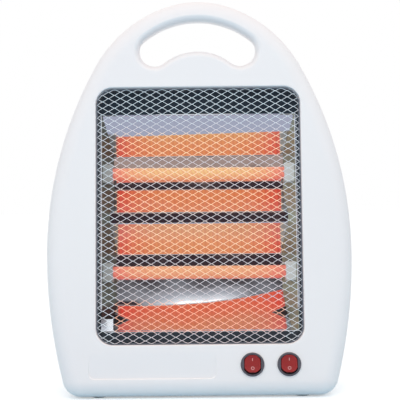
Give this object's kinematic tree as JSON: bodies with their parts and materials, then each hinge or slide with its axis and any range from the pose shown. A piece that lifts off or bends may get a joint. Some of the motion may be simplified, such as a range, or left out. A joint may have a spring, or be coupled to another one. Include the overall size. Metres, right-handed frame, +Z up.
{
  "type": "electric bar heater",
  "caption": "Upright quartz bar heater: white shell with carrying slot, mesh guard over glowing tubes and mirror troughs, rocker switches and tip-over cut-out.",
  "frame": {"origin": "on the floor under the middle of the heater's bounding box", "axes": "+Z up, -Y out of the glowing front, +X to the right as seen from the front"},
  "size_m": [0.302, 0.1156, 0.394],
  "materials": {
    "shell_white": "white satin-gloss moulded shell",
    "guard_steel": "bright nickel-plated expanded steel",
    "pan_enamel": "glossy dark blue-black enamelled pan",
    "mirror": "bright rolled reflector sheet",
    "mirror_end": "heat-tinted steel end plates with a bright front lip",
    "zinc": "zinc-plated folded sheet",
    "quartz": "quartz tube glowing orange",
    "coil": "resistance wire at red heat",
    "ceramic": "unglazed white ceramic",
    "terminal": "nickel-plated terminal",
    "switch_black": "black moulded switch housing",
    "rocker_red": null,
    "blade_brass": "brass blade",
    "tip_black": "black moulded cut-out",
    "spring_steel": "spring steel",
    "block_white": "white terminal block",
    "gland_rubber": "black rubber gland",
    "foot_rubber": "black rubber foot",
    "screw_steel": "zinc-plated screw",
    "lead_live": "brown sleeved lead",
    "lead_heat": "glass-fibre sleeved lead",
    "lead_blue": "blue sleeved lead",
    "lead_earth": "green and yellow earth lead"
  },
  "bodies": {
    "root": {"front_shell": "shell_white", "rear_shell": "shell_white", "guard_mesh": "guard_steel", "front_pan": "pan_enamel", "reflector": "mirror", "mirror_end_left": "mirror_end", "mirror_end_right": "mirror_end", "side_bracket_left": "zinc", "side_bracket_right": "zinc", "heat_shield": "zinc", "quartz_tube_upper": "quartz", "quartz_tube_lower": "quartz", "heating_coil_upper": "coil", "heating_coil_lower": "coil", "ceramic_holder_upper_left": "ceramic", "ceramic_holder_upper_right": "ceramic", "ceramic_holder_lower_left": "ceramic", "ceramic_holder_lower_right": "ceramic", "end_terminal_upper_left": "terminal", "end_terminal_upper_right": "terminal", "end_terminal_lower_left": "terminal", "end_terminal_lower_right": "terminal", "switch_body_left": "switch_black", "switch_body_right": "switch_black", "switch_blades_left": "blade_brass", "switch_blades_right": "blade_brass", "tip_switch_body": "tip_black", "tip_spring": "spring_steel", "terminal_block": "block_white", "terminal_screws": "blade_brass", "cord_clamp": "block_white", "clamp_screws": "screw_steel", "cord_gland": "gland_rubber", "foot_front_left": "foot_rubber", "foot_front_right": "foot_rubber", "foot_rear_left": "foot_rubber", "foot_rear_right": "foot_rubber", "case_screws": "screw_steel", "pan_screws": "screw_steel", "shield_screws": "screw_steel", "lead_live": "lead_live", "lead_feed": "lead_live", "lead_link": "lead_live", "lead_upper": "lead_heat", "lead_lower": "lead_heat", "lead_return_upper": "lead_blue", "lead_return_lower": "lead_blue", "lead_earth": "lead_earth"},
    "rocker_left": {"rocker_left": "rocker_red"},
    "rocker_right": {"rocker_right": "rocker_red"},
    "tip_plunger": {"tip_plunger": "tip_black"}
  },
  "joints": [
    {"name": "rocker_left_tilt", "type": "hinge", "parent": "root", "child": "rocker_left", "pos_m": [0.05046, -0.05042, 0.0331], "axis": [1, 0, 0], "range_deg": [0, 20]},
    {"name": "rocker_right_tilt", "type": "hinge", "parent": "root", "child": "rocker_right", "pos_m": [0.08606, -0.05042, 0.0331], "axis": [1, 0, 0], "range_deg": [0, 20]},
    {"name": "tip_plunger_slide", "type": "slide", "parent": "root", "child": "tip_plunger", "axis": [0, 0, -1], "range_m": [0, 0.006], "stiffness_N_per_m": 60, "springref_m": 0.014, "deforming": ["tip_spring"]}
  ]
}
